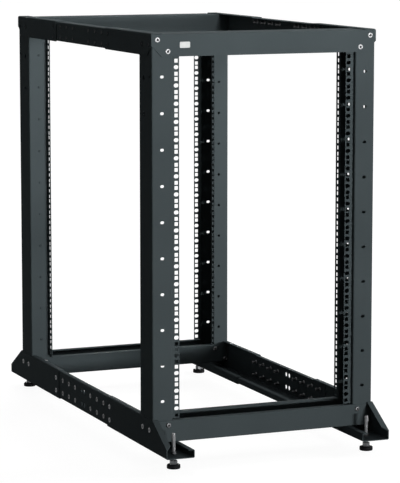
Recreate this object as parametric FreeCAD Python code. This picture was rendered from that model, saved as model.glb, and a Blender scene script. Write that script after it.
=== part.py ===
"""Four-post open frame rack, 19 inch, twenty units, in folded sheet steel.

Millimetres, +Z up, +X to the right and +Y to the back when facing the front.
The origin is on the floor, under the middle of the rack.
Each piece is made once for the front right corner and mirrored to the others.
"""
import FreeCAD
import Part
import math
import os

os.makedirs("parts", exist_ok=True)
Vector = FreeCAD.Vector

# Rack standard
unit_height = 44.45
unit_count = 20
unit_hole_pitch = 15.875
rack_hole_spacing = 465.1
rack_hole_edge = 7.55

# Frame
rack_depth = 1000.0
frame_width = 600.0
sheet = 2.0
bend = 1.5

# Posts
rack_flange_width = 22.0
post_step = 10.0
post_depth = 86.0
post_lip = 24.0
flange_end_gap = 2.0
square_hole = 9.5
middle_hole_length = 12.5
middle_hole_width = 10.0
lip_hole_inset = 10.0
face_slot_length = 10.0
face_slot_width = 7.0
inner_hole_diameter = 7.0
inner_hole_shift = 2.0
side_hole_diameter = 6.0
side_hole_inset = 16.0
lacing_hole_diameter = 11.0
lacing_hole_inset = 31.0
lacing_hole_drop = 4.0

# Base rails and their outriggers
rail_underside = 34.0
base_wall_height = 80.0
base_top_lip = 15.0
base_width = 74.0
base_inner_height = 21.0
base_inner_lip = 15.0
outrigger_reach = 97.0
nose_height = 24.0
nose_chamfer = 14.0
through_hole_diameter = 12.0
through_hole_offset = 10.0
base_hole_rise = 21.0
base_hole_pitch = 35.0

# Telescoping joint of the side rails
rail_seam = 190.0
rail_overlap = 50.0

# Bottom beams
beam_height = 55.0
beam_outer_lip = 15.0
beam_inner_lip = 20.0
beam_lip_end_gap = 1.0
field_gap_below = 4.0

# Top beams and top rails
top_height = 55.0
top_rail_lip = 30.0
top_clip = 27.0
field_gap_above = 4.5

# Levelling feet
foot_side_inset = 36.5
foot_reach = 46.0
pad_diameter = 34.0
pad_height = 10.0
nut_across_flats = 17.0
nut_height = 10.0
lock_nut_across_flats = 14.0
lock_nut_height = 6.0
stud_diameter = 10.0
stud_height = 78.0
stud_clearance = 0.3

# Levels
beam_bottom = rail_underside + base_inner_height
beam_top = beam_bottom + beam_height
field_bottom = beam_top + field_gap_below
field_top = field_bottom + unit_count * unit_height
top_beam_bottom = field_top + field_gap_above
top_beam_top = top_beam_bottom + top_height
post_bottom = beam_bottom + sheet + bend
post_top = top_beam_top - sheet - bend
base_wall_top = rail_underside + base_wall_height
top_rail_top = top_beam_top + sheet
top_rail_bottom = top_rail_top - top_height

# Planes of the front right corner
x_side = frame_width / 2
x_outer = x_side + sheet
x_rack_holes = rack_hole_spacing / 2
x_opening = x_rack_holes - rack_hole_edge
x_post_inner = x_opening + rack_flange_width
x_face_holes = (x_post_inner + x_side) / 2
x_inner_holes = x_face_holes - inner_hole_shift
x_base_inner = x_outer - base_width
y_rack = -rack_depth / 2
y_face = y_rack - post_step
y_beam = y_face - sheet
y_post_back = y_face + post_depth
y_beam_back = y_post_back + sheet
y_lip_end = y_post_back + post_lip
y_nose = y_face - outrigger_reach
rail_middle_half = rail_seam + rail_overlap
stud_bore = stud_diameter + 2 * stud_clearance


def in_xy(z):
    """Map a section point to a level plane at height z."""
    return lambda p: Vector(p.x, p.y, z)


def in_xz(y):
    """Map a section point to an upright plane across the rack at depth y."""
    return lambda p: Vector(p.x, y, p.y)


def in_yz(x):
    """Map a section point to an upright plane along the rack at width x."""
    return lambda p: Vector(x, p.x, p.y)


def to_left(direction):
    """Return the direction turned a quarter to the left in the section."""
    return Vector(-direction.y, direction.x, 0)


def folded_section(points, place):
    """Return the face of a folded sheet.

    The points run along one skin and the sheet lies to their left.
    Each corner is a bend with the inside radius `bend`.
    """
    corners = [Vector(u, v, 0) for u, v in points]
    runs = [(b - a).normalize() for a, b in zip(corners, corners[1:])]
    skin_start = corners[0]
    back_start = corners[0] + to_left(runs[0]) * sheet
    edges = [Part.LineSegment(place(back_start), place(skin_start))]
    for corner, before, after in zip(corners[1:-1], runs, runs[1:]):
        left_turn = before.x * after.y - before.y * after.x > 0
        skin_radius = bend + sheet if left_turn else bend
        back_radius = bend if left_turn else bend + sheet
        reach = skin_radius * math.tan(before.getAngle(after) / 2)
        inward = to_left(before) if left_turn else to_left(before) * -1
        first = corner - before * reach
        centre = first + inward * skin_radius
        last = corner + after * reach
        middle = centre + (corner - centre).normalize() * skin_radius
        ratio = back_radius / skin_radius
        skin_arc = [place(p) for p in (first, middle, last)]
        back_arc = [place(centre + (p - centre) * ratio) for p in (first, middle, last)]
        edges.append(Part.LineSegment(place(skin_start), skin_arc[0]))
        edges.append(Part.Arc(*skin_arc))
        edges.append(Part.LineSegment(place(back_start), back_arc[0]))
        edges.append(Part.Arc(*back_arc))
        skin_start = last
        back_start = centre + (last - centre) * ratio
    skin_end = corners[-1]
    back_end = skin_end + to_left(runs[-1]) * sheet
    edges.append(Part.LineSegment(place(skin_start), place(skin_end)))
    edges.append(Part.LineSegment(place(back_start), place(back_end)))
    edges.append(Part.LineSegment(place(skin_end), place(back_end)))
    shapes = [edge.toShape() for edge in edges]
    return Part.Face(Part.Wire(Part.__sortEdges__(shapes)))


def prism(points, place, sweep):
    """Return the solid of a straight-sided outline moved along a vector."""
    ring = [place(Vector(u, v, 0)) for u, v in points]
    return Part.Face(Part.makePolygon(ring + ring[:1])).extrude(sweep)


def block(low, high):
    """Return the box between two opposite corners."""
    size = [b - a for a, b in zip(low, high)]
    return Part.makeBox(*size, Vector(*low))


def round_slot(length, width, x, y, z, depth):
    """Return an obround punch along +Y with true round ends; its slot runs along X."""
    half = (length - width) / 2
    radius = width / 2
    edges = [
        Part.LineSegment(Vector(x - half, y, z - radius), Vector(x + half, y, z - radius)),
        Part.Arc(Vector(x + half, y, z - radius), Vector(x + half + radius, y, z),
                 Vector(x + half, y, z + radius)),
        Part.LineSegment(Vector(x + half, y, z + radius), Vector(x - half, y, z + radius)),
        Part.Arc(Vector(x - half, y, z + radius), Vector(x - half - radius, y, z),
                 Vector(x - half, y, z - radius)),
    ]
    outline = Part.Wire([edge.toShape() for edge in edges])
    return Part.Face(outline).extrude(Vector(0, depth, 0))


def eight_sided(length, width, u, v):
    """Return an eight-sided outline about a point that stands for a round or obround hole."""
    a = length / 2
    b = width / 2
    cut = b * (1 - math.tan(math.pi / 8))
    quarter = [(a, b - cut), (a - cut, b)]
    ring = quarter + [(-x, y) for x, y in reversed(quarter)]
    ring = ring + [(-x, -y) for x, y in ring]
    return [(u + x, v + y) for x, y in ring]


def unit_line(index):
    """Return the height of the boundary below the given unit, counted from the top."""
    return field_top - index * unit_height


def slot_punch(length, width, x, y, z, is_mount):
    """Return a punch through the sheet that starts at depth y.

    The mounting slots at both ends of a row have true round ends, and those between have eight sides.
    """
    depth = 3 * sheet
    start = y - sheet
    if is_mount:
        return round_slot(length, width, x, start, z, depth)
    return prism(eight_sided(length, width, x, z), in_xz(start), Vector(0, depth, 0))


def rack_punches():
    """Return the punches of the rack flange and of the perforated lip."""
    y_lip_holes = y_lip_end - lip_hole_inset
    half = square_hole / 2
    tools = []
    for unit in range(unit_count):
        centre = field_top - (unit + 0.5) * unit_height
        is_mount = unit in (0, unit_count - 1)
        tools.append(slot_punch(middle_hole_length, middle_hole_width,
                                x_rack_holes, y_rack, centre, is_mount))
        for z in (centre - unit_hole_pitch, centre + unit_hole_pitch):
            tools.append(block((x_rack_holes - half, y_rack - sheet, z - half),
                               (x_rack_holes + half, y_rack + 2 * sheet, z + half)))
        for z in (centre - unit_hole_pitch, centre, centre + unit_hole_pitch):
            tools.append(block((x_post_inner - sheet, y_lip_holes - half, z - half),
                               (x_post_inner + 2 * sheet, y_lip_holes + half, z + half)))
    return tools


def face_punches():
    """Return the punches of the front face, the inner flange and the side wall."""
    indices = range(1, unit_count, 2)
    ends = (indices[0], indices[-1])
    tools = []
    for index in indices:
        z = unit_line(index)
        tools.append(slot_punch(face_slot_length, face_slot_width, x_face_holes, y_face, z, index in ends))
        inner = eight_sided(inner_hole_diameter, inner_hole_diameter, x_inner_holes, z)
        tools.append(prism(inner, in_xz(y_post_back - 2 * sheet), Vector(0, 3 * sheet, 0)))
    y_lacing = y_post_back - lacing_hole_inset
    side_holes = [(side_hole_diameter, y_face + side_hole_inset, unit_line(indices[0]))]
    for index in indices[:2]:
        side_holes.append((lacing_hole_diameter, y_lacing, unit_line(index) - lacing_hole_drop))
    for diameter, y, z in side_holes:
        side = eight_sided(diameter, diameter, y, z)
        tools.append(prism(side, in_yz(x_side - 2 * sheet), Vector(3 * sheet, 0, 0)))
    return tools


def make_post():
    """Folded post: rack flange, step, face, side wall, inner flange and perforated lip."""
    path = [
        (x_opening, y_rack),
        (x_post_inner, y_rack),
        (x_post_inner, y_face),
        (x_side, y_face),
        (x_side, y_post_back),
        (x_post_inner + sheet, y_post_back),
        (x_post_inner + sheet, y_lip_end),
    ]
    post = folded_section(path, in_xy(post_bottom)).extrude(Vector(0, 0, post_top - post_bottom))
    x_low = x_opening - sheet
    y_far = y_lip_end + sheet
    low_end = beam_top + flange_end_gap
    high_end = top_beam_bottom - flange_end_gap
    trims = [
        block((x_low, y_face - sheet, post_bottom), (x_post_inner, y_post_back, low_end)),
        block((x_low, y_post_back, post_bottom), (x_side, y_far, low_end)),
        block((x_low, y_post_back, high_end), (x_side, y_far, post_top)),
    ]
    return post.cut(trims + rack_punches() + face_punches())


def make_bottom_beam():
    """Tray that the two posts of one end stand in, with a lip on each wall between the posts."""
    path = [
        (y_beam + beam_outer_lip, beam_top),
        (y_beam, beam_top),
        (y_beam, beam_bottom),
        (y_beam_back, beam_bottom),
        (y_beam_back, beam_top - sheet),
        (y_beam_back + beam_inner_lip, beam_top - sheet),
    ]
    beam = folded_section(path, in_yz(-x_side)).extrude(Vector(frame_width, 0, 0))
    x_lip = x_post_inner - beam_lip_end_gap
    trims = []
    for low, high in ((-x_side, -x_lip), (x_lip, x_side)):
        trims.append(block((low, y_face, beam_bottom + beam_height / 2), (high, y_post_back, beam_top)))
        trims.append(block((low, y_beam_back, beam_bottom), (high, y_lip_end, beam_top)))
    return beam.cut(trims)


def make_top_beam():
    """Upturned tray over the two posts of one end, with clipped corners on its face plate."""
    path = [
        (y_beam_back, top_beam_bottom),
        (y_beam_back, top_beam_top),
        (y_beam, top_beam_top),
        (y_beam, top_beam_bottom),
    ]
    beam = folded_section(path, in_yz(-x_outer)).extrude(Vector(2 * x_outer, 0, 0))
    depth = Vector(0, post_depth / 2, 0)
    trims = []
    for side in (-1, 1):
        clip = [
            (side * x_outer, top_beam_bottom),
            (side * (x_outer - top_clip), top_beam_bottom),
            (side * x_outer, top_beam_bottom + top_clip),
        ]
        trims.append(prism(clip, in_xz(y_beam - sheet), depth))
        x_low, x_high = sorted((side * (x_side - bend), side * (x_outer + sheet)))
        trims.append(block((x_low, y_face, top_beam_bottom), (x_high, y_beam_back + sheet, top_rail_top)))
    return beam.cut(trims)


def make_top_rail_end():
    """Outer angle of a top side rail: wall outside the post, lip on the beam's flange."""
    path = [
        (x_outer, top_rail_bottom),
        (x_outer, top_rail_top),
        (x_outer - top_rail_lip, top_rail_top),
    ]
    rail = folded_section(path, in_xz(y_face)).extrude(Vector(0, -rail_seam - y_face, 0))
    clip = [
        (y_face, top_rail_bottom),
        (y_face + top_clip, top_rail_bottom),
        (y_face, top_rail_bottom + top_clip),
    ]
    return rail.cut(prism(clip, in_yz(x_side - sheet), Vector(3 * sheet, 0, 0)))


def make_top_rail_middle():
    """Inner angle of a top side rail, nested inside its two end pieces."""
    path = [
        (x_side, top_rail_bottom + sheet),
        (x_side, top_rail_top - sheet),
        (x_outer - top_rail_lip, top_rail_top - sheet),
    ]
    return folded_section(path, in_xz(-rail_middle_half)).extrude(Vector(0, 2 * rail_middle_half, 0))


def foot_place():
    """Return the centre of the front right foot on the floor."""
    return Vector(x_side - foot_side_inset, y_face - foot_reach, 0)


def stud_punch(low, high):
    """Return the eight-sided punch of the stud's clearance hole between two heights."""
    place = foot_place()
    return prism(eight_sided(stud_bore, stud_bore, place.x, place.y), in_xy(low), Vector(0, 0, high - low))


def make_base_rail_end():
    """Outer channel of a base rail with its sloped outrigger, notched round the post."""
    channel = [
        (x_base_inner + base_inner_lip, beam_bottom),
        (x_base_inner, beam_bottom),
        (x_base_inner, rail_underside),
        (x_outer, rail_underside),
        (x_outer, base_wall_top),
    ]
    lipped = channel + [(x_outer - base_top_lip, base_wall_top)]
    rail = folded_section(lipped, in_xz(y_beam)).extrude(Vector(0, -rail_seam - y_beam, 0))
    x_lip = x_outer - base_top_lip
    lip_low = base_wall_top - sheet - bend
    rail = rail.cut(block((x_lip - sheet, y_beam, lip_low), (x_side, y_beam_back, base_wall_top)))

    outrigger = folded_section(channel, in_xz(y_nose)).extrude(Vector(0, y_beam - y_nose, 0))
    nose_top = rail_underside + nose_height
    over_slope = [(y_nose, nose_top), (y_beam, base_wall_top), (y_nose, base_wall_top)]
    outrigger = outrigger.cut(prism(over_slope, in_yz(x_base_inner), Vector(base_width, 0, 0)))
    slope = math.atan2(base_wall_top - nose_top, y_beam - y_nose)
    drop = sheet / math.cos(slope)
    lip_outline = [
        (y_nose, nose_top),
        (y_beam, base_wall_top),
        (y_beam, base_wall_top - drop),
        (y_nose, nose_top - drop),
    ]
    slope_lip = prism(lip_outline, in_yz(x_lip), Vector(base_top_lip, 0, 0))
    chamfer = [(x_lip, y_nose), (x_side, y_nose), (x_lip, y_nose + nose_chamfer)]
    slope_lip = slope_lip.cut(prism(chamfer, in_xy(rail_underside), Vector(0, 0, base_wall_height)))

    rail = rail.fuse([outrigger, slope_lip]).removeSplitter()
    return rail.cut(stud_punch(rail_underside - sheet, beam_bottom))


def make_base_rail_middle():
    """Inner channel of a base rail, nested inside its two end pieces."""
    path = [
        (x_base_inner + base_inner_lip, beam_bottom - sheet),
        (x_base_inner + sheet, beam_bottom - sheet),
        (x_base_inner + sheet, rail_underside + sheet),
        (x_side, rail_underside + sheet),
        (x_side, base_wall_top - sheet),
        (x_outer - base_top_lip, base_wall_top - sheet),
    ]
    rail = folded_section(path, in_xz(-rail_middle_half)).extrude(Vector(0, 2 * rail_middle_half, 0))
    lower_row = rail_underside + base_hole_rise
    holes = []
    for z in (lower_row, lower_row + base_hole_pitch):
        for y in (-through_hole_offset, through_hole_offset):
            hole = eight_sided(through_hole_diameter, through_hole_diameter, y, z)
            holes.append(prism(hole, in_yz(x_side - 2 * sheet), Vector(3 * sheet, 0, 0)))
    return rail.cut(holes)


def make_pad():
    """Round foot pad on the floor."""
    return Part.makeCylinder(pad_diameter / 2, pad_height, foot_place())


def make_nut(across_flats, bottom, height):
    """Hexagon nut on the foot's stud with its lower face at the given level."""
    radius = across_flats / 2 / math.cos(math.pi / 6)
    ring = [(radius * math.cos(i * math.pi / 3), radius * math.sin(i * math.pi / 3)) for i in range(6)]
    nut = prism(ring, in_xy(bottom), Vector(0, 0, height))
    nut.translate(foot_place())
    return nut.cut(stud_punch(bottom - sheet, bottom + height + sheet))


def make_stud():
    """Plain stud that stands on the pad and passes through the rail's bottom plate."""
    foot = foot_place() + Vector(0, 0, pad_height)
    return Part.makeCylinder(stud_diameter / 2, stud_height, foot)


def to_corner(shape, end, side):
    """Mirror a front right piece to the given end and side."""
    if side == "left":
        shape = shape.mirror(Vector(), Vector(1, 0, 0))
    if end == "rear":
        shape = shape.mirror(Vector(), Vector(0, 1, 0))
    return shape


def write(shape, node):
    """Write one piece as a single solid under its node's name."""
    solids = shape.Solids
    if len(solids) != 1 or not solids[0].isValid():
        raise ValueError(node + " is not one sound solid")
    solids[0].exportStep("parts/" + node + ".step")


corner_pieces = {
    "post": make_post(),
    "top_rail": make_top_rail_end(),
    "base_rail": make_base_rail_end(),
    "foot_pad": make_pad(),
    "foot_nut": make_nut(nut_across_flats, pad_height, nut_height),
    "foot_lock_nut": make_nut(lock_nut_across_flats, rail_underside + sheet, lock_nut_height),
    "foot_stud": make_stud(),
}
end_pieces = {
    "bottom_beam": make_bottom_beam(),
    "top_beam": make_top_beam(),
}
side_pieces = {
    "top_rail_middle": make_top_rail_middle(),
    "base_rail_middle": make_base_rail_middle(),
}

for end in ("front", "rear"):
    for name, shape in end_pieces.items():
        write(to_corner(shape, end, "right"), end + "_" + name)
    for side in ("left", "right"):
        for name, shape in corner_pieces.items():
            write(to_corner(shape, end, side), end + "_" + side + "_" + name)
for side in ("left", "right"):
    for name, shape in side_pieces.items():
        write(to_corner(shape, "front", side), side + "_" + name)
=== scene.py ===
# %% [markdown]
# # Dressing a four-post open frame rack
# The rack is folded sheet steel under a dark matt powder coat, on four levelling feet. Its posts, beams
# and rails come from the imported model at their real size. This lesson adds what a fitter adds on the shop
# floor: screws, riveted nuts, threaded feet and a small white plate. Then it paints and lights the whole.

# %% Load the frame
import math

import bpy
import numpy as np
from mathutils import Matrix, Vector


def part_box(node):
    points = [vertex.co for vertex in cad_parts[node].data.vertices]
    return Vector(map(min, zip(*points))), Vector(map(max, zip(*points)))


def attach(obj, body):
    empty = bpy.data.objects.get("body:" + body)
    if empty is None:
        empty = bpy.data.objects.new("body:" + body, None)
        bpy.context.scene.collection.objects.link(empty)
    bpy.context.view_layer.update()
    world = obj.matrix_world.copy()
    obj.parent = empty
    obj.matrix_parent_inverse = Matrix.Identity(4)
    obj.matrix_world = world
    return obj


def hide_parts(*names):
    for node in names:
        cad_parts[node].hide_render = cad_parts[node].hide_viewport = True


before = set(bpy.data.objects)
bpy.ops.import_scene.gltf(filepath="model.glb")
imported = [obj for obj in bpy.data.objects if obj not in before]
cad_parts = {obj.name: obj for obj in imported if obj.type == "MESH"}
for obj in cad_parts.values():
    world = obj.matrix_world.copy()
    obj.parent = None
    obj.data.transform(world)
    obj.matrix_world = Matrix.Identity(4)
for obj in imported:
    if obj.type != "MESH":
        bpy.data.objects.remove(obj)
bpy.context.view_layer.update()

# %% [markdown]
# ## Camera
# The photograph was taken from the front left, a little above the top. Its camera was found from the rack
# holes, which lie on a known grid, so the render can be laid over the photograph. A long lens keeps the
# posts nearly parallel. The place, the turn and the lens are written down as they were found.

# %% Camera at the photograph's angle
camera_place = (-2.4104, -5.9084, 1.3646)
camera_turn = 22.502
camera_dip = 7.920
lens_length = 178.9
sensor_size = 36.0

camera_data = bpy.data.cameras.new("photo_camera")
camera_data.lens = lens_length
camera_data.sensor_width = sensor_size
camera = bpy.data.objects.new("photo_camera", camera_data)
camera.location = camera_place
camera.rotation_euler = (math.radians(90 - camera_dip), 0, math.radians(-camera_turn))
bpy.context.scene.collection.objects.link(camera)
bpy.context.scene.camera = camera
print("camera:", camera_place, "lens", lens_length)

# %% [markdown]
# ## Nodes in few words
# Every finish of the rack is a small node tree round one Principled shader. Noise on Object coordinates
# gives each its unevenness, because those coordinates are metres on the piece and stay put when it is seen
# from another side. The helpers make a new tree, a noise, a spread of two values, a shade between two tones
# and a bump. Most of a noise lies in the middle of its range, so only that part is spread over the values.

# %% Helpers for finishes
noise_low = 0.3
noise_high = 0.7


def new_finish(name):
    """Return a material, its tree and its Principled shader."""
    material = bpy.data.materials.new(name)
    material.use_nodes = True
    tree = material.node_tree
    return material, tree, tree.nodes["Principled BSDF"]


def grain(tree, size, detail):
    """Return a noise output with features of about `size` metres."""
    place = tree.nodes.new("ShaderNodeTexCoord")
    noise = tree.nodes.new("ShaderNodeTexNoise")
    noise.inputs["Scale"].default_value = 1.0 / size
    noise.inputs["Detail"].default_value = detail
    tree.links.new(place.outputs["Object"], noise.inputs["Vector"])
    return noise.outputs["Fac"]


def spread(tree, driver, low, high, target):
    """Let a noise move a number between two values."""
    node = tree.nodes.new("ShaderNodeMapRange")
    node.inputs["From Min"].default_value = noise_low
    node.inputs["From Max"].default_value = noise_high
    node.inputs["To Min"].default_value = low
    node.inputs["To Max"].default_value = high
    tree.links.new(driver, node.inputs["Value"])
    tree.links.new(node.outputs["Result"], target)


def shade(tree, driver, dark, light, target):
    """Let a noise move a colour between two tones."""
    node = tree.nodes.new("ShaderNodeValToRGB")
    node.color_ramp.elements[0].position = noise_low
    node.color_ramp.elements[0].color = (*dark, 1.0)
    node.color_ramp.elements[1].position = noise_high
    node.color_ramp.elements[1].color = (*light, 1.0)
    tree.links.new(driver, node.inputs["Fac"])
    tree.links.new(node.outputs["Color"], target)


def roughen(tree, driver, depth, strength, target):
    """Let a noise raise and lower the surface by about `depth` metres."""
    node = tree.nodes.new("ShaderNodeBump")
    node.inputs["Strength"].default_value = strength
    node.inputs["Distance"].default_value = depth
    tree.links.new(driver, node.inputs["Height"])
    tree.links.new(node.outputs["Normal"], target)


print("noise between", noise_low, "and", noise_high, "is used")

# %% [markdown]
# ## Powder coat
# The rack is sprayed with dry powder and baked, which leaves a fine matt skin with a pebbled touch, called
# orange peel, about a millimetre across. A photograph of the skin could be wrapped round it, but noise
# needs no image and keeps its scale on every piece. One slow noise shifts the tone by a few percent, as
# uneven baking does, and two quick ones give the peel and the gloss. The skin is very matt, so it hardly
# mirrors the white room.

# %% Paint on all sheet steel
paint_dark = (0.062, 0.077, 0.082)
paint_light = (0.068, 0.084, 0.089)
paint_sheen = 0.02
paint, tree, shader = new_finish("dark_powder_coat")
shader.inputs["Specular IOR Level"].default_value = paint_sheen
bake_cloud = grain(tree, size=0.12, detail=3.0)
gloss_patch = grain(tree, size=0.004, detail=2.0)
orange_peel = grain(tree, size=0.0012, detail=2.0)
shade(tree, bake_cloud, paint_dark, paint_light, shader.inputs["Base Color"])
spread(tree, gloss_patch, low=0.72, high=0.86, target=shader.inputs["Roughness"])
roughen(tree, orange_peel, depth=0.00004, strength=0.5, target=shader.inputs["Normal"])
print("paint:", paint_dark, "to", paint_light)

# %% [markdown]
# ## Plated metal
# All small metal parts are plated, so one helper makes them: a faint cloud in the tone, an uneven gloss and
# a fine grain. The screws of the top beams are bright zinc and the studs of the feet a thicker, duller
# zinc. The black screws, the nuts of the feet and the bodies of the riveted nuts are black zinc, which
# keeps a soft metal shine. The collars of the riveted nuts on the base rails are oiled black oxide.


# %% Platings
def plating(name, dark, light, rough_low, rough_high):
    """A plated metal between two tones, with gloss and grain that change within a few millimetres."""
    finish, tree, shader = new_finish(name)
    shader.inputs["Metallic"].default_value = 1.0
    metal_cloud = grain(tree, size=0.003, detail=3.0)
    metal_patch = grain(tree, size=0.0015, detail=3.0)
    metal_grain = grain(tree, size=0.0004, detail=2.0)
    shade(tree, metal_cloud, dark, light, shader.inputs["Base Color"])
    spread(tree, metal_patch, rough_low, rough_high, shader.inputs["Roughness"])
    roughen(tree, metal_grain, depth=0.00001, strength=0.3, target=shader.inputs["Normal"])
    print("plating:", name)
    return finish


zinc = plating("bright_zinc", (0.28, 0.285, 0.29), (0.35, 0.355, 0.36), 0.46, 0.60)
dull_zinc = plating("dull_zinc", (0.22, 0.225, 0.23), (0.31, 0.315, 0.32), 0.34, 0.50)
black_zinc = plating("black_zinc", (0.080, 0.083, 0.087), (0.120, 0.123, 0.127), 0.32, 0.46)
black_oxide = plating("black_oxide", (0.036, 0.038, 0.040), (0.056, 0.058, 0.060), 0.32, 0.46)

# %% [markdown]
# ## Black plastic
# The feet stand on black moulded plastic, which is dull from its mould. One flat colour would do from far
# away, but up close a little noise in tone, gloss and surface keeps it from looking like a paper cut-out.

# %% Plastic of the pads
pad_dark = (0.005, 0.005, 0.006)
pad_light = (0.010, 0.010, 0.011)
pad_sheen = 0.05
pad_plastic, tree, shader = new_finish("black_moulded_plastic")
shader.inputs["Specular IOR Level"].default_value = pad_sheen
mould_cloud = grain(tree, size=0.006, detail=2.0)
mould_patch = grain(tree, size=0.003, detail=2.0)
mould_grain = grain(tree, size=0.0006, detail=2.0)
shade(tree, mould_cloud, pad_dark, pad_light, shader.inputs["Base Color"])
spread(tree, mould_patch, low=0.48, high=0.62, target=shader.inputs["Roughness"])
roughen(tree, mould_grain, depth=0.00003, strength=0.4, target=shader.inputs["Normal"])
print("pads:", pad_dark, "to", pad_light)

# %% [markdown]
# ## White enamel
# The small plate is coated with white enamel, smoother than the powder coat. It could be a clear coat over
# white paint, which is two layers. At this size one layer with a middling gloss looks the same.

# %% Enamel of the plate
enamel_dark = (0.58, 0.60, 0.59)
enamel_light = (0.64, 0.66, 0.65)
enamel, tree, shader = new_finish("white_enamel")
enamel_cloud = grain(tree, size=0.008, detail=2.0)
enamel_patch = grain(tree, size=0.004, detail=2.0)
enamel_wave = grain(tree, size=0.0015, detail=2.0)
shade(tree, enamel_cloud, enamel_dark, enamel_light, shader.inputs["Base Color"])
spread(tree, enamel_patch, low=0.42, high=0.52, target=shader.inputs["Roughness"])
roughen(tree, enamel_wave, depth=0.00002, strength=0.2, target=shader.inputs["Normal"])
print("enamel:", enamel_dark, "to", enamel_light)

# %% [markdown]
# ## Sockets and tapped bores
# Sockets and bores are dark: little light comes back out of a real one, and oil stays in it. Here their
# floors lie only a little below the rim, so the dark colour is painted shade, laid over the darker tone of
# oiled steel. A thread could be cut into every bore, but it is too small to see. A dark, half metallic
# finish says the same.

# %% Steel of sockets and bores
# Painted shade of a deep hole, over the tone of oiled steel.
bore_shade_dark = (0.016, 0.016, 0.017)
bore_shade_light = (0.028, 0.028, 0.030)
bore_metal = 0.7
bore_shade_steel, tree, shader = new_finish("tapped_bore_painted_shade")
shader.inputs["Metallic"].default_value = bore_metal
oil_cloud = grain(tree, size=0.002, detail=2.0)
oil_patch = grain(tree, size=0.001, detail=2.0)
shade(tree, oil_cloud, bore_shade_dark, bore_shade_light, shader.inputs["Base Color"])
spread(tree, oil_patch, low=0.40, high=0.60, target=shader.inputs["Roughness"])
print("bores:", bore_shade_dark, "to", bore_shade_light)

# %% [markdown]
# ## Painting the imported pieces
# The posts, beams and rails could be built again as meshes here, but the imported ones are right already. So
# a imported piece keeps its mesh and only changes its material. Nodes that have "foot" in their name get
# finer shapes further down, so here only the sheet steel is painted.

# %% Assign the paint
sheet_nodes = [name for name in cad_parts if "foot" not in name]
for name in sheet_nodes:
    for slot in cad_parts[name].material_slots:
        slot.material = paint
print("painted:", len(sheet_nodes), "pieces of sheet steel")

# %% [markdown]
# ## Turned shapes
# Screws, nuts, studs and pads are all turned or milled about an axis. Blender could spin a profile, but a
# formula says the same in one line: a profile is a row of radii and heights, and each is carried round the
# axis. Where the outline isn't round, as in a hexagon, the radius also depends on the angle. The result is
# one grid of points.

# %% Grids of points and their faces
columns_round = 48
angles = np.linspace(0, 2 * math.pi, columns_round, endpoint=False)[None, :]


def turn(radius, height, angle):
    """Carry a profile round the Z axis: x = r cos a, y = r sin a, z = h.

    radius and height are broadcast to one number a row and column, and rows run from the seat to the tip.
    """
    radius, height, angle = np.broadcast_arrays(radius, height, angle)
    return np.stack([radius * np.cos(angle), radius * np.sin(angle), height], axis=-1)


def hexagon(flats, angle):
    """Distance from the axis to a hexagon.

    It is half the width over the flats, over the cosine of the angle to the nearest flat.
    """
    sixth = math.pi / 3
    return flats / 2 / np.cos((angle + sixth / 2) % sixth - sixth / 2)


def grid_faces(rows, columns, ring):
    """Quads of a grid that closes round its columns; a ring also joins its last row to its first."""
    row = np.arange(rows if ring else rows - 1)[:, None]
    column = np.arange(columns)[None, :]
    after = (row + 1) % rows
    beside = (column + 1) % columns
    low = row * columns
    high = after * columns
    corners = [low + column, low + beside, high + beside, high + column]
    return np.stack(np.broadcast_arrays(*corners), axis=-1).reshape(-1, 4)


def cap_faces(rows, columns):
    """The two many-sided faces that close the first and the last row of a grid."""
    column = np.arange(columns)
    return [column[::-1], (rows - 1) * columns + column]


print("a turned grid has", angles.size, "columns")

# %% [markdown]
# ## From a grid to many fitted pieces
# The same screw sits in many places, so one grid is turned and moved to every seat at once: each seat has a
# point and a direction, and the three axes there make a turning matrix. All copies become one mesh, which
# keeps the scene light. The spin of each screw about its own axis comes from a seeded draw, because a
# fitter leaves every socket at another angle.

# %% Copies, meshes and riding
spin_seed = 19
spins = np.random.default_rng(spin_seed)
sharp_angle = math.radians(32)


def copies(grid, seats, directions):
    """Place a grid at each seat with its Z axis along the direction there, spun by a random angle."""
    along = np.asarray(directions, float)
    is_vertical = np.abs(along[:, 2:]) > 0.5
    helper_axis = np.where(is_vertical, (1.0, 0.0, 0.0), (0.0, 0.0, 1.0))
    across = np.cross(helper_axis, along)
    spin = spins.uniform(0, 2 * math.pi, len(along))[:, None]
    first = across * np.cos(spin) + np.cross(along, across) * np.sin(spin)
    axes = np.stack([first, np.cross(along, first), along], axis=1)
    points = np.einsum("rcj,njk->nrck", grid, axes)
    return points + np.asarray(seats, float)[:, None, None, :]


def add_piece(name, points, finishes, ring=False, bore_rows=0):
    """Make one piece from copies of a grid and let it ride on the rack.

    Faces between the last bore_rows rows, and the cap there, take the second finish.
    """
    count, rows, columns = points.shape[:3]
    faces = grid_faces(rows, columns, ring)
    shift = rows * columns * np.arange(count)
    polygons = (faces[None] + shift[:, None, None]).reshape(-1, 4).tolist()
    inner = np.tile(np.arange(len(faces)) >= len(faces) - bore_rows * columns, count)
    if not ring:
        for cap, is_inner in zip(cap_faces(rows, columns), (False, bore_rows > 0)):
            polygons += (cap[None] + shift[:, None]).tolist()
            inner = np.append(inner, np.full(count, is_inner))
    mesh = bpy.data.meshes.new(name)
    mesh.from_pydata(points.reshape(-1, 3).tolist(), [], polygons)
    for finish in finishes:
        mesh.materials.append(finish)
    mesh.polygons.foreach_set("material_index", inner.astype(np.int32))
    mesh.shade_smooth()
    mesh.set_sharp_from_angle(angle=sharp_angle)
    mesh.update()
    piece = bpy.data.objects.new(name, mesh)
    bpy.context.scene.collection.objects.link(piece)
    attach(piece, "root")
    print(name + ":", count, "copies,", len(mesh.vertices), "points")
    return piece


print("edges sharper than", round(math.degrees(sharp_angle)), "degrees stay sharp")

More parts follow.
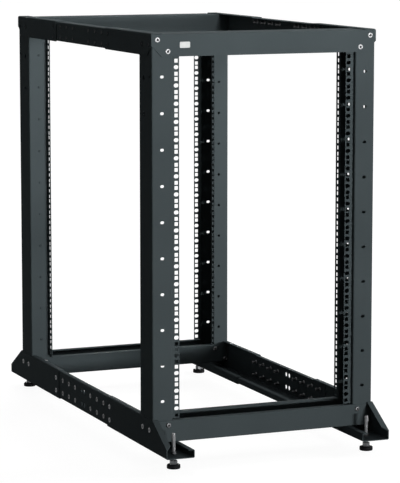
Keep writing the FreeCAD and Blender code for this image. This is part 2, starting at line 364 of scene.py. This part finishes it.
# %% [markdown]
# ## Screws with a button head
# The photograph shows low round heads, and flatter ones on the rails. Their drive is too small to read, so
# they get the usual hexagon socket. A boolean could cut it out of a ball, but here one profile does it all:
# it climbs the rim, follows a quarter of an ellipse over the crown, and then the outline changes from a
# circle to a hexagon and goes down to the socket's floor. Circle and hexagon have the same number of
# columns, so the grid simply continues from one to the other.

# %% Screw grids
screw_radius = 0.0065
crown_rows = 7
socket_mouth = 0.0042
socket_flats = 0.0060
socket_edge = 0.0003
socket_share = 0.7


def screw_grid(rim, height):
    """Screw head: the crown is a quarter ellipse from the rim to the mouth, then a hexagon goes down."""
    sweep = np.linspace(0, math.pi / 2, crown_rows)
    crown = socket_mouth + (screw_radius - socket_mouth) * np.cos(sweep)
    crown_levels = rim + (height - rim) * np.sin(sweep)
    head = turn(np.append(screw_radius, crown)[:, None], np.append(0.0, crown_levels)[:, None], angles)
    socket = hexagon(socket_flats, angles)
    walls = np.concatenate([socket + socket_edge, socket, socket])
    levels = np.array([[height], [height - socket_edge], [height - socket_share * height]])
    return np.concatenate([head, turn(walls, levels, angles)])


button_screw = screw_grid(rim=0.0008, height=0.0036)
flat_screw = screw_grid(rim=0.0005, height=0.0017)
socket_row_count = 1
print("screw grids:", button_screw.shape, flat_screw.shape)

# %% [markdown]
# ## Where the screws sit
# Each corner of the rack has the same fasteners, so a place is written once for the front right corner and
# mirrored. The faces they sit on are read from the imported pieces, and the rest are distances that a fitter
# would measure.

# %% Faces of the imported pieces
beam_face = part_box("front_bottom_beam")[0].y
beam_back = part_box("front_top_beam")[1].y
rail_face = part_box("front_right_base_rail")[1].x
middle_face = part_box("right_base_rail_middle")[1].x
base_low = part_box("front_right_base_rail")[0].z
top_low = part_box("front_right_top_rail")[0].z
top_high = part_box("front_top_beam")[1].z
sheet = rail_face - middle_face


def mirrored(seats, direction):
    """Mirror seats and their direction from the front right corner to all four corners."""
    signs = np.array([(1, 1, 1), (-1, 1, 1), (1, -1, 1), (-1, -1, 1)], float)
    places = (signs[:, None, :] * np.asarray(seats, float)[None]).reshape(-1, 3)
    ways = np.repeat(signs * np.asarray(direction, float), len(seats), axis=0)
    return places, ways


print("faces: beams at", round(beam_face, 4), "rails at", round(rail_face, 4), "sheet", round(sheet, 4))

# %% [markdown]
# ## Screws of the beams
# Two bright flat screws hold each end of a top beam, on a slant that follows the clipped corner. Two black
# button heads hold each end of a bottom beam on a slant too, with their partners on the bay side. Each
# screw has a reach from the middle of the rack and a drop from the top or a rise from the base. Every head
# could be an object of its own, but one mesh for all heads of a kind is easier to handle.

# %% Beam screws
top_screw_reach = (0.286, 0.259)
top_screw_drop = (0.014, 0.0425)
bottom_screw_reach = (0.259, 0.287)
bottom_screw_rise = (0.064, 0.034)
bay_screw_reach = (0.2594, 0.2917)
bay_screw_rise = (0.0607, 0.0303)
bright_fastener = (zinc, bore_shade_steel)
black_fastener = (black_zinc, bore_shade_steel)


def beam_seats(reaches, face, levels):
    """Seats on one face of a beam: x = reach, y = face, z = level."""
    return np.stack(np.broadcast_arrays(reaches, face, levels), axis=-1)


top_seats = beam_seats(top_screw_reach, beam_face, top_high - np.array(top_screw_drop))
bottom_seats = beam_seats(bottom_screw_reach, beam_face, base_low + np.array(bottom_screw_rise))
bay_seats = beam_seats(bay_screw_reach, beam_back, base_low + np.array(bay_screw_rise))
add_piece("top_beam_screws", copies(flat_screw, *mirrored(top_seats, (0, -1, 0))), bright_fastener,
          bore_rows=socket_row_count)
add_piece("bottom_beam_screws", copies(button_screw, *mirrored(bottom_seats, (0, -1, 0))),
          black_fastener, bore_rows=socket_row_count)
add_piece("bay_screws", copies(button_screw, *mirrored(bay_seats, (0, 1, 0))), black_fastener,
          bore_rows=socket_row_count)

# %% [markdown]
# ## Screws of the side rails
# Each rail end is held to its post by two flat screws, and to the middle piece of the rail by two more, one
# above the other. They are black zinc on the base rails. On the top rails they were in place before the
# spraying, so they wear the paint. The seats lie alike on both rails, so one function gives them.

# %% Rail screws
post_screw_reach = (0.493, 0.447)
joint_screw_reach = 0.210
base_post_level = base_low + 0.052
top_post_level = top_low + 0.0275
base_rows = (base_low + 0.021, base_low + 0.056)
top_rows = (top_low + 0.0125, top_low + 0.0415)
painted_fastener = (paint, bore_shade_steel)


def rail_seats(post_level, rows):
    """Two seats over the post, and one in each row where the rail meets its middle piece."""
    over_post = [(rail_face, -reach, post_level) for reach in post_screw_reach]
    return over_post + [(rail_face, -joint_screw_reach, row) for row in rows]


base_screw_seats = rail_seats(base_post_level, base_rows)
top_screw_seats = rail_seats(top_post_level, top_rows)
add_piece("base_rail_screws", copies(flat_screw, *mirrored(base_screw_seats, (1, 0, 0))),
          black_fastener, bore_rows=socket_row_count)
add_piece("top_rail_screws", copies(flat_screw, *mirrored(top_screw_seats, (1, 0, 0))),
          painted_fastener, bore_rows=socket_row_count)

# %% [markdown]
# ## Riveted nuts
# Thin sheet can't hold a thread, so a nut is riveted into it: outside shows a flat collar round the tapped
# bore, and inside the squeezed body stands off the sheet with a bulge at its root. Both are turned profiles
# with a dark bore, written in millimetres as pairs of radius and height. The collars are black oxide on the
# base rails and painted with the rail on the top ones, and all bodies are black zinc.

# %% Collars and bodies of the riveted nuts
millimetre = 0.001
collar_profile = millimetre * np.array([
    (6.3, 0.0), (6.3, 0.6), (6.0, 0.95), (4.3, 1.1), (3.6, 1.0), (3.3, 0.7), (3.3, 0.12),
])
body_profile = millimetre * np.array([
    (4.6, 0.0), (5.2, 0.4), (5.4, 1.2), (5.2, 2.0), (4.4, 2.6), (3.5, 3.0),
    (3.5, 13.4), (3.3, 13.8), (2.8, 13.8), (2.5, 13.5), (2.5, 8.0),
])
collar = turn(*collar_profile.T[..., None], angles)
body = turn(*body_profile.T[..., None], angles)
nut_reaches = (0.060, 0.110, 0.160)
body_reaches = nut_reaches + (joint_screw_reach,)
bore_row_count = 2
oxide_fastener = (black_oxide, bore_shade_steel)
rail_nuts = (("base_rail", base_rows, oxide_fastener), ("top_rail", top_rows, painted_fastener))
for rail, rows, collar_finish in rail_nuts:
    outer = [(middle_face, -reach, row) for reach in nut_reaches for row in rows]
    inner = [(middle_face - sheet, -reach, row) for reach in body_reaches for row in rows]
    add_piece(rail + "_nut_collars", copies(collar, *mirrored(outer, (1, 0, 0))),
              collar_finish, bore_rows=bore_row_count)
    add_piece(rail + "_nut_bodies", copies(body, *mirrored(inner, (-1, 0, 0))),
              black_fastener, bore_rows=bore_row_count)

# %% [markdown]
# ## Levelling feet
# A foot is a black pad, a nut above it, a threaded stud and a flat nut that carries the rail's plate. The
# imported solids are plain, so each gets a finer shape in the same place. The four feet are alike, so their
# sizes are read once, from the foot at the front right.


# %% Sizes of a foot
def foot_frame(node):
    """Return the axis point on the lowest level of a foot's node, its radius across X and its height."""
    low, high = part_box(node)
    base = np.array([(low.x + high.x) / 2, (low.y + high.y) / 2, low.z])
    return base, (high.x - low.x) / 2, high.z - low.z


pad_radius, pad_height = foot_frame("front_right_foot_pad")[1:]
stud_radius, stud_height = foot_frame("front_right_foot_stud")[1:]
print("foot: pad radius", round(pad_radius, 4), "stud radius", round(stud_radius, 4))

# %% [markdown]
# ## Pad
# The pad is moulded, so its rims are round and its side bulges a little. A Bevel modifier could round the
# rims of a cylinder, but the profile is easy to write: an arc for the foot, a sine for the side and an arc
# for the top, strung into one row of radii and heights.

# %% Pad grid
pad_low_rim = 0.001
pad_top_rim = 0.002
pad_bulge = 0.0003
pad_rows = 6
side_span = (0.15, 0.85)


def pad_grid(radius, height):
    """Pad: a quarter circle at the foot, a side that bulges as a sine, and a quarter circle at the top."""
    corner = np.linspace(0, math.pi / 2, pad_rows)
    rise = np.linspace(*side_span, pad_rows)
    low_r = radius - pad_bulge - pad_low_rim * (1 - np.sin(corner))
    low_h = pad_low_rim * (1 - np.cos(corner))
    side_r = radius - pad_bulge + pad_bulge * np.sin(math.pi * rise)
    side_h = pad_low_rim + (height - pad_low_rim - pad_top_rim) * rise
    top_r = radius - pad_bulge - pad_top_rim * (1 - np.cos(corner))
    top_h = height - pad_top_rim * (1 - np.sin(corner))
    radii = np.concatenate([low_r, side_r, top_r])[:, None]
    heights = np.concatenate([low_h, side_h, top_h])[:, None]
    return turn(radii, heights, angles)


pad_shape = pad_grid(pad_radius, pad_height)
print("pad grid:", pad_shape.shape)

# %% [markdown]
# ## Nuts
# A nut is a hexagon whose corners are cut by a cone at both ends. A boolean could make that cut, but the
# smaller of two radii at every height is the same cut in one line. The grid starts and ends in the bore and
# is joined there into a ring, so the stud passes through.

# %% Nut grids
chamfer_slope = math.tan(math.radians(30))
chamfer_rows = 6
face_share = 0.97
bore_lead = 0.0006
stud_slack = 0.0003


def nut_grid(flats, height, bore):
    """Nut: radius = the smaller of the hexagon and a 30 degree cone at each end, round an open bore."""
    face = flats / 2 * face_share
    corner = hexagon(flats, angles).max()
    steps = np.linspace(0, 1, chamfer_rows) * (corner - face) * chamfer_slope
    levels = np.concatenate([steps, height - steps[::-1]])[:, None]
    edge = np.minimum(levels, height - levels)
    outside = turn(np.minimum(hexagon(flats, angles), face + edge / chamfer_slope), levels, angles)
    wide = bore + bore_lead
    low_mouth = turn(np.array([[bore], [wide]]), np.array([[bore_lead], [0.0]]), angles)
    top_mouth = turn(np.array([[wide], [bore]]), np.array([[height], [height - bore_lead]]), angles)
    return np.concatenate([low_mouth, outside, top_mouth])


def nut_for(node):
    """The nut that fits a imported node, whose hexagon has two corners on the X axis."""
    half_corners, height = foot_frame(node)[1:]
    return nut_grid(2 * half_corners * math.cos(math.pi / 6), height, stud_radius + stud_slack)


nut_shape = nut_for("front_right_foot_nut")
lock_nut_shape = nut_for("front_right_foot_lock_nut")
print("nut grids:", nut_shape.shape, lock_nut_shape.shape)

# %% [markdown]
# ## Stud
# The stud has a thread over its whole length. A Screw modifier could wind a tooth round it, but it leaves
# open ends. A formula closes by itself: the radius follows a triangle wave that climbs one pitch in every
# turn, and fades out below the tip as on a real bolt.

# %% Stud grid
thread_pitch = 0.0015
thread_depth = 0.0008
thread_rows = 6
tip_run_out = 0.0012
tip_drop = 0.0004


def stud_grid(radius, height):
    """Stud: radius = root + depth times a triangle wave of height / pitch less one turn of the angle."""
    thread_angles = angles[:, ::2]
    levels = np.linspace(0, height, int(height / thread_pitch * thread_rows))[:, None]
    phase = levels / thread_pitch - thread_angles / (2 * math.pi)
    wave = 1 - np.abs(2 * (phase % 1.0) - 1)
    fade = np.clip((height - levels) / tip_run_out, 0, 1)
    root = radius - thread_depth
    return turn(root + thread_depth * wave * fade - tip_drop * (1 - fade), levels, thread_angles)


stud_shape = stud_grid(stud_radius, stud_height)
print("stud grid:", stud_shape.shape)

# %% [markdown]
# ## Feet at the four corners
# Every piece of a foot takes the place of the plain node with the same name, so the rack still stands on
# its own feet. A loop over the corners and the kinds of piece keeps the four feet alike, and each thread
# begins at another angle.

# %% Feet
foot_pieces = (
    ("pad", pad_shape, "foot_pad", pad_plastic, False),
    ("stud", stud_shape, "zinc", dull_zinc, False),
    ("nut", nut_shape, "zinc", black_zinc, True),
    ("lock_nut", lock_nut_shape, "zinc", black_zinc, True),
)
for corner in ("front_left", "front_right", "rear_left", "rear_right"):
    for kind, shape, slot, finish, ring in foot_pieces:
        node = corner + "_foot_" + kind
        points = copies(shape, [foot_frame(node)[0]], [(0.0, 0.0, 1.0)])
        piece = add_piece(corner + "_" + kind, points, (finish,), ring=ring)
        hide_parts(node)

# %% [markdown]
# ## Plate
# A small white plate sits on the front top beam: a rounded rectangle with a low rim round a sunk field. It
# could be a box with bevelled edges and an inset face, but a formula gives it in one go. The outline is
# four quarter circles about four corner centres, and the straight sides come by themselves where one
# quarter ends and the next begins. It is drawn at five steps of inset and level, from the beam over the rim
# to the field.

# %% Plate
plate_centre = np.array([-0.2143, beam_face, 1.0354])
plate_width = 0.0268
plate_height = 0.0150
plate_corner = 0.0022
plate_quarter_points = 9
plate_steps = [(0.0, 0.0), (0.0, 0.0005), (0.0002, 0.0007), (0.0008, 0.0007), (0.0010, 0.0005)]


def plate_ring(inset, level):
    """One outline of the plate: a corner centre plus the corner radius less the inset, at its level."""
    quarter = np.linspace(0, math.pi / 2, plate_quarter_points)
    angle = (np.arange(4)[:, None] * math.pi / 2 + quarter[None]).ravel()
    side = np.repeat([(1, 1), (-1, 1), (-1, -1), (1, -1)], quarter.size, axis=0)
    middle = np.array([plate_width / 2 - plate_corner, plate_height / 2 - plate_corner])
    radius = plate_corner - inset
    x = side[:, 0] * middle[0] + radius * np.cos(angle)
    z = side[:, 1] * middle[1] + radius * np.sin(angle)
    return np.stack([x, np.full_like(x, -level), z], axis=-1)


plate_points = np.stack([plate_ring(inset, level) for inset, level in plate_steps])[None]
add_piece("bare_plate", plate_points + plate_centre, (enamel,))

# %% [markdown]
# ## Studio
# The photograph is a plain studio picture on white: front faces are light and fade a little towards the
# floor, and left faces and trays are dark. So the main light comes level from far in front, a little to the
# right, and shines over the lips of the trays and not into them. Its beam could be even, but an area lamp
# can be narrowed to a cone, and a cone whose middle is near the top of the rack gives the fade by itself. A
# small lamp with a narrow cone reaches over the front beam to the rear wall of the top. Three more light
# the other sides: one on the right, one above and behind for the top faces, and one level from the rear.

# %% Lamps
open_cone = 180.0


def add_lamp(name, place, target, width, height, power, cone=open_cone):
    """A soft lamp with a rectangular front, turned from its place to a target; its cone is in degrees."""
    data = bpy.data.lights.new(name, "AREA")
    data.shape = "RECTANGLE"
    data.size = width
    data.size_y = height
    data.energy = power
    data.spread = math.radians(cone)
    lamp = bpy.data.objects.new(name, data)
    lamp.location = place
    lamp.rotation_euler = (Vector(target) - Vector(place)).to_track_quat("-Z", "Y").to_euler()
    lamp.visible_camera = False
    bpy.context.scene.collection.objects.link(lamp)
    print(name + ":", place, power, "W")


add_lamp("front_lamp", (4.2, -18.0, 1.0), (0.0, 0.0, 1.0), width=8.0, height=0.9, power=72.0, cone=21.0)
add_lamp("top_lamp", (0.4, -2.5, 2.45), (0.03, 0.5, 1.08), width=0.9, height=0.4, power=2.1, cone=32.0)
add_lamp("right_lamp", (4.5, -0.2, 2.2), (0.0, 0.0, 0.55), width=1.6, height=1.6, power=120.0)
add_lamp("back_lamp", (1.8, 5.6, 7.2), (0.0, 0.0, 0.8), width=3.6, height=3.6, power=300.0)
add_lamp("rear_lamp", (4.2, 18.0, 1.0), (0.0, 0.0, 1.0), width=8.0, height=0.9, power=56.0, cone=21.0)

# %% [markdown]
# ## White room
# The picture's background is pure white, but a white world would flood the dark sides with light. A white
# wall could stand behind the rack, but it would be missing in other views. So the world asks what kind of
# ray looks at it: the camera and reflections see white, and the rays that carry light see a dim room.

# %% World that is white to the eye and dim as a lamp
room_light = 0.063
white_level = 1.0
plain_white = (1.0, 1.0, 1.0, 1.0)


def seen_ray(tree):
    """Return 1 for camera, glossy and transmission rays, and 0 for the rest."""
    rays = tree.nodes.new("ShaderNodeLightPath")
    first = tree.nodes.new("ShaderNodeMath")
    first.operation = "MAXIMUM"
    tree.links.new(rays.outputs["Is Camera Ray"], first.inputs[0])
    tree.links.new(rays.outputs["Is Glossy Ray"], first.inputs[1])
    second = tree.nodes.new("ShaderNodeMath")
    second.operation = "MAXIMUM"
    tree.links.new(first.outputs[0], second.inputs[0])
    tree.links.new(rays.outputs["Is Transmission Ray"], second.inputs[1])
    return second.outputs[0]


world = bpy.data.worlds.new("white_room")
bpy.context.scene.world = world
world.use_nodes = True
tree = world.node_tree
dim = tree.nodes["Background"]
dim.inputs["Color"].default_value = plain_white
dim.inputs["Strength"].default_value = room_light
white = tree.nodes.new("ShaderNodeBackground")
white.inputs["Color"].default_value = plain_white
white.inputs["Strength"].default_value = white_level
mix = tree.nodes.new("ShaderNodeMixShader")
tree.links.new(seen_ray(tree), mix.inputs["Fac"])
tree.links.new(dim.outputs[0], mix.inputs[1])
tree.links.new(white.outputs[0], mix.inputs[2])
tree.links.new(mix.outputs[0], tree.nodes["World Output"].inputs["Surface"])
print("world: white to the eye, room light", room_light)

# %% [markdown]
# ## Paper floor
# The rack stands on pale paper that runs out of the picture and holds a soft shadow near the rails. White
# paper would need more light than the rack gets, and would throw it back up into the trays. So the paper is
# grey as a surface, and a glow that only the eye and reflections see lifts it to white. The glow is a touch
# lower near the rack, where the shadow has to show, and full further out, where the paper meets the room.

# %% Paper with a glow
paper_grey = 0.14
near_glow = 0.95
far_glow = 1.0
rise_start = 1.2
rise_end = 3.0
paper, tree, shader = new_finish("pale_paper")
tree.nodes.remove(shader)
diffuse = tree.nodes.new("ShaderNodeBsdfDiffuse")
diffuse.inputs["Color"].default_value = (paper_grey, paper_grey, paper_grey, 1.0)
place = tree.nodes.new("ShaderNodeTexCoord")
distance = tree.nodes.new("ShaderNodeVectorMath")
distance.operation = "LENGTH"
tree.links.new(place.outputs["Object"], distance.inputs[0])
rise = tree.nodes.new("ShaderNodeMapRange")
rise.inputs["From Min"].default_value = rise_start
rise.inputs["From Max"].default_value = rise_end
rise.inputs["To Min"].default_value = near_glow
rise.inputs["To Max"].default_value = far_glow
tree.links.new(distance.outputs["Value"], rise.inputs["Value"])
level = tree.nodes.new("ShaderNodeMath")
level.operation = "MULTIPLY"
tree.links.new(seen_ray(tree), level.inputs[0])
tree.links.new(rise.outputs["Result"], level.inputs[1])
glow = tree.nodes.new("ShaderNodeEmission")
tree.links.new(level.outputs[0], glow.inputs["Strength"])
both = tree.nodes.new("ShaderNodeAddShader")
tree.links.new(diffuse.outputs[0], both.inputs[0])
tree.links.new(glow.outputs[0], both.inputs[1])
tree.links.new(both.outputs[0], tree.nodes["Material Output"].inputs["Surface"])
print("paper: grey", paper_grey, "glow", near_glow, "to", far_glow)

# %% [markdown]
# ## Floor
# The paper lies flat under the feet and reaches far past the picture. The Plane from Blender's menu would
# do, but four corners say its size in one line. It belongs to the stage and not to the rack.

# %% Floor panel
paper_reach = 30.0
paper_corners = paper_reach * np.array([(-1, -1, 0), (1, -1, 0), (1, 1, 0), (-1, 1, 0)])
floor_mesh = bpy.data.meshes.new("floor")
floor_mesh.from_pydata(paper_corners.tolist(), [], [(0, 1, 2, 3)])
floor_mesh.materials.append(paper)
floor = bpy.data.objects.new("floor", floor_mesh)
bpy.context.scene.collection.objects.link(floor)
print("floor: reaches", paper_reach, "m each way")

# %% [markdown]
# ## Colour management
# The view transform is set to Standard, so a colour comes out about as it is written.

# %% View
bpy.context.scene.view_settings.view_transform = "Standard"
